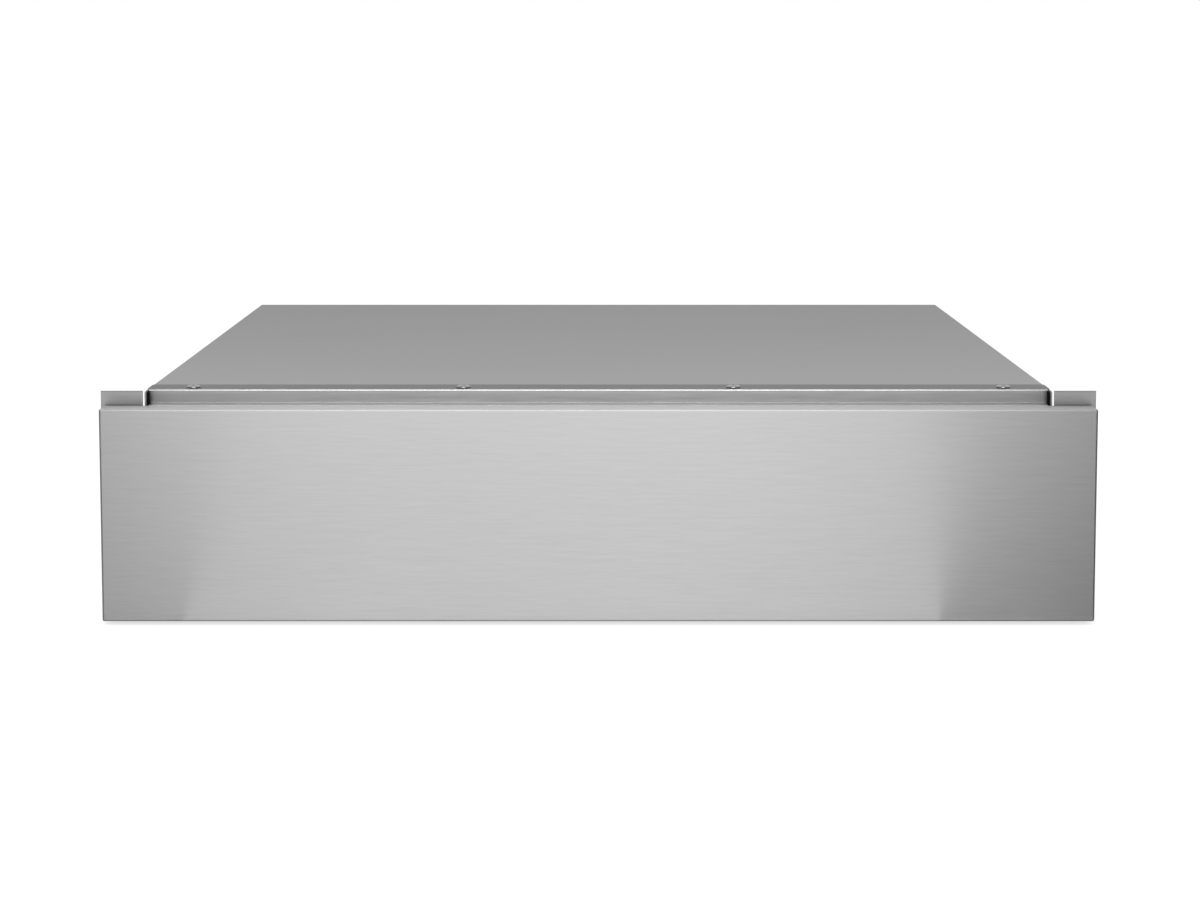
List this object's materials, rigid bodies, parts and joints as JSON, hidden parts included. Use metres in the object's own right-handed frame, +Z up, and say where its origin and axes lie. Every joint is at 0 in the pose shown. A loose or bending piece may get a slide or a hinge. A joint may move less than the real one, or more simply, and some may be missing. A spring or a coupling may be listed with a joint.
{
  "type": "built-in storage drawer",
  "caption": "Low built-in storage drawer: folded steel case with side mounting flanges, handleless brushed steel front, ball-bearing slides and touch latch.",
  "frame": {"origin": "middle of the base, at the underside of the pads, half way between the front panel's face and the rear screw heads", "axes": "+X to the right seen from the front, +Y from the front panel towards the back, +Z up"},
  "size_m": [0.6, 0.55, 0.1418],
  "materials": {
    "brushed_front": "fine horizontal brushing",
    "rail_steel": "brushed",
    "cover_steel": "plain satin sheet",
    "galvanised": "galvanised sheet",
    "slide_zinc": "zinc plated",
    "ball_steel": "polished",
    "fastener_steel": "bright zinc",
    "black_plastic": "moulded",
    "white_plastic": "moulded",
    "black_foam": "foam strip",
    "mat_rubber": "ribbed mat",
    "spring_steel": "spring wire"
  },
  "bodies": {
    "case": {"top_cover": "cover_steel", "side_panel_left": "galvanised", "side_panel_right": "galvanised", "base_plate": "galvanised", "base_pads": "black_plastic", "rear_panel": "galvanised", "front_rail": "rail_steel", "edge_seals": "black_foam", "mounting_flange_left": "rail_steel", "mounting_flange_right": "rail_steel", "rail_screws": "fastener_steel", "cover_screws": "fastener_steel", "flange_rivets": "fastener_steel", "case_rivets": "fastener_steel", "slide_outer_left": "slide_zinc", "slide_outer_right": "slide_zinc", "slide_outer_rivets": "fastener_steel", "slide_buffers": "black_plastic", "latch_bracket": "galvanised", "latch_housing": "white_plastic", "latch_front_cap": "white_plastic", "latch_spring": "spring_steel", "latch_rivets": "fastener_steel"},
    "drawer": {"front_panel": "brushed_front", "front_backing": "galvanised", "panel_screws": "fastener_steel", "tray_side_left": "galvanised", "tray_side_right": "galvanised", "tray_floor": "galvanised", "tray_front": "galvanised", "tray_back": "galvanised", "tray_rivets": "fastener_steel", "slide_inner_left": "slide_zinc", "slide_inner_right": "slide_zinc", "slide_inner_rivets": "fastener_steel", "lever_pins": "fastener_steel", "striker_plate": "slide_zinc", "striker_rivets": "fastener_steel", "drawer_mat": "mat_rubber"},
    "plunger": {"latch_plunger": "white_plastic", "latch_tip": "black_plastic"},
    "middle_left": {"slide_middle_left": "slide_zinc"},
    "outer_cage_left": {"outer_cage_left": "slide_zinc", "outer_balls_left": "ball_steel"},
    "inner_cage_left": {"inner_cage_left": "slide_zinc", "inner_balls_left": "ball_steel"},
    "lever_left": {"release_lever_left": "black_plastic"},
    "middle_right": {"slide_middle_right": "slide_zinc"},
    "outer_cage_right": {"outer_cage_right": "slide_zinc", "outer_balls_right": "ball_steel"},
    "inner_cage_right": {"inner_cage_right": "slide_zinc", "inner_balls_right": "ball_steel"},
    "lever_right": {"release_lever_right": "black_plastic"}
  },
  "joints": [
    {"name": "drawer_slide", "type": "slide", "parent": "case", "child": "drawer", "axis": [0, -1, 0], "range_m": [-0.002, 0.44]},
    {"name": "middle_left_slide", "type": "slide", "parent": "case", "child": "middle_left", "axis": [0, -1, 0], "range_m": [-0.001, 0.22]},
    {"name": "outer_cage_left_slide", "type": "slide", "parent": "case", "child": "outer_cage_left", "axis": [0, -1, 0], "range_m": [-0.0005, 0.11]},
    {"name": "inner_cage_left_slide", "type": "slide", "parent": "case", "child": "inner_cage_left", "axis": [0, -1, 0], "range_m": [-0.0015, 0.33]},
    {"name": "lever_left_tilt", "type": "hinge", "parent": "drawer", "child": "lever_left", "pos_m": [-0.2624, -0.051, 0.058], "axis": [1, 0, 0], "range_deg": [-5, 5], "stiffness_Nm_per_rad": 0.05},
    {"name": "middle_right_slide", "type": "slide", "parent": "case", "child": "middle_right", "axis": [0, -1, 0], "range_m": [-0.001, 0.22]},
    {"name": "outer_cage_right_slide", "type": "slide", "parent": "case", "child": "outer_cage_right", "axis": [0, -1, 0], "range_m": [-0.0005, 0.11]},
    {"name": "inner_cage_right_slide", "type": "slide", "parent": "case", "child": "inner_cage_right", "axis": [0, -1, 0], "range_m": [-0.0015, 0.33]},
    {"name": "lever_right_tilt", "type": "hinge", "parent": "drawer", "child": "lever_right", "pos_m": [0.2624, -0.051, 0.058], "axis": [1, 0, 0], "range_deg": [-5, 5], "stiffness_Nm_per_rad": 0.05},
    {"name": "plunger_slide", "type": "slide", "parent": "case", "child": "plunger", "axis": [0, -1, 0], "range_m": [-0.00006, 0.0132]}
  ],
  "couplings": [
    {"joint": "middle_left_slide", "follows": "drawer_slide", "ratio": 0.5},
    {"joint": "outer_cage_left_slide", "follows": "drawer_slide", "ratio": 0.25},
    {"joint": "inner_cage_left_slide", "follows": "drawer_slide", "ratio": 0.75},
    {"joint": "middle_right_slide", "follows": "drawer_slide", "ratio": 0.5},
    {"joint": "outer_cage_right_slide", "follows": "drawer_slide", "ratio": 0.25},
    {"joint": "inner_cage_right_slide", "follows": "drawer_slide", "ratio": 0.75},
    {"joint": "plunger_slide", "follows": "drawer_slide", "ratio": 0.03}
  ]
}
